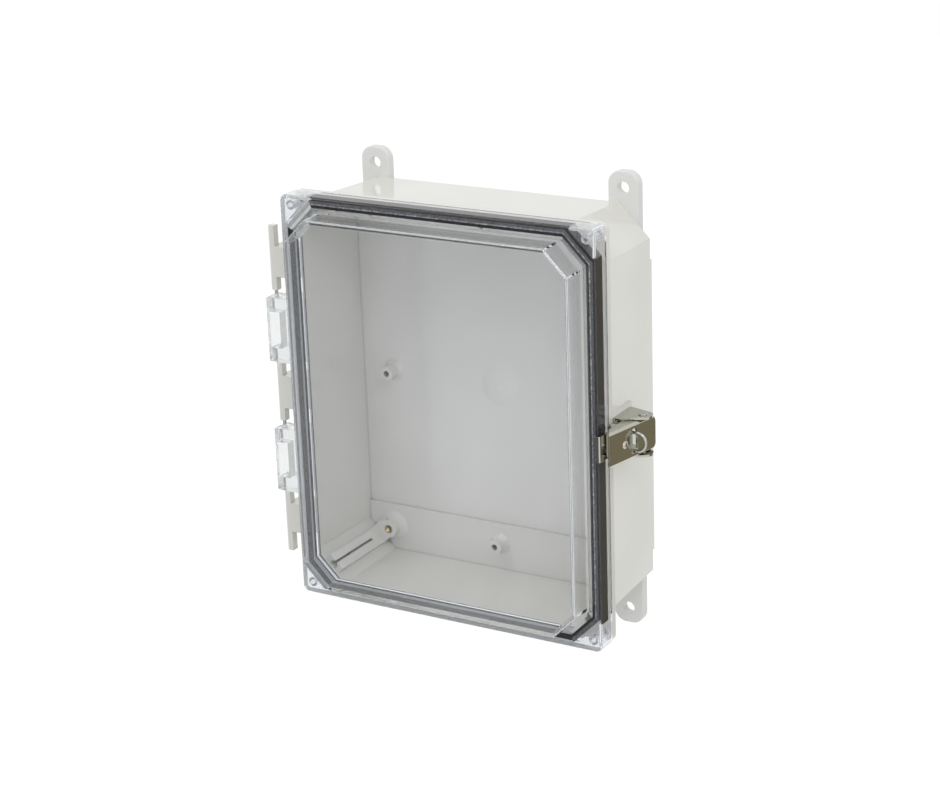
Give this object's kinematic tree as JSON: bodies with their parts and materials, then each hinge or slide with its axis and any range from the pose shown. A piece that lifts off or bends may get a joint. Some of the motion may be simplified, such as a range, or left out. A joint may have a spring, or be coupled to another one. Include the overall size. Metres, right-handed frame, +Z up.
{
  "type": "polycarbonate enclosure",
  "caption": "Wall-mounted polycarbonate enclosure with a hinged clear raised cover, foam gasket, screwed-on mounting feet and an over-centre draw latch with a padlock staple.",
  "frame": {"origin": "centre of the four wall-fixing holes in the feet, on the wall plane at the back of the feet", "axes": "+X to the right seen from the front, +Y back into the wall so the cover faces -Y, +Z up"},
  "size_m": [0.2801, 0.1062, 0.3226],
  "materials": {
    "grey_polycarbonate": "satin moulded",
    "clear_polycarbonate": "clear polished",
    "gasket_foam": "closed-cell foam",
    "foot_polycarbonate": "satin moulded",
    "screw_steel": "plain zinc-plated",
    "insert_brass": "machined",
    "latch_stainless": "polished stainless"
  },
  "bodies": {
    "base": {"base_shell": "grey_polycarbonate", "mounting_foot_top_right": "foot_polycarbonate", "mounting_foot_bottom_right": "foot_polycarbonate", "mounting_foot_top_left": "foot_polycarbonate", "mounting_foot_bottom_left": "foot_polycarbonate", "foot_screws": "screw_steel", "brass_inserts": "insert_brass", "hinge_pins_upper": "screw_steel", "hinge_pins_lower": "screw_steel", "latch_bracket": "latch_stainless", "bracket_screws": "screw_steel", "latch_pivot_pin": "latch_stainless", "padlock_staple": "latch_stainless"},
    "door": {"cover": "clear_polycarbonate", "gasket": "gasket_foam", "hinge_block_upper": "clear_polycarbonate", "hinge_block_lower": "clear_polycarbonate"},
    "lever": {"latch_lever": "latch_stainless", "claw_pin": "latch_stainless"},
    "claw": {"latch_claw": "latch_stainless"}
  },
  "joints": [
    {"name": "door_hinge", "type": "hinge", "parent": "base", "child": "door", "pos_m": [-0.1344, -0.0799, 0], "axis": [0, 0, -1], "range_deg": [0, 180]},
    {"name": "lever_pivot", "type": "hinge", "parent": "base", "child": "lever", "pos_m": [0.1335, -0.0549, 0], "axis": [0, 0, 1], "range_deg": [0, 135]},
    {"name": "claw_pivot", "type": "hinge", "parent": "lever", "child": "claw", "pos_m": [0.123, -0.078, 0], "axis": [0, 0, 1], "range_deg": [0, 20]}
  ]
}
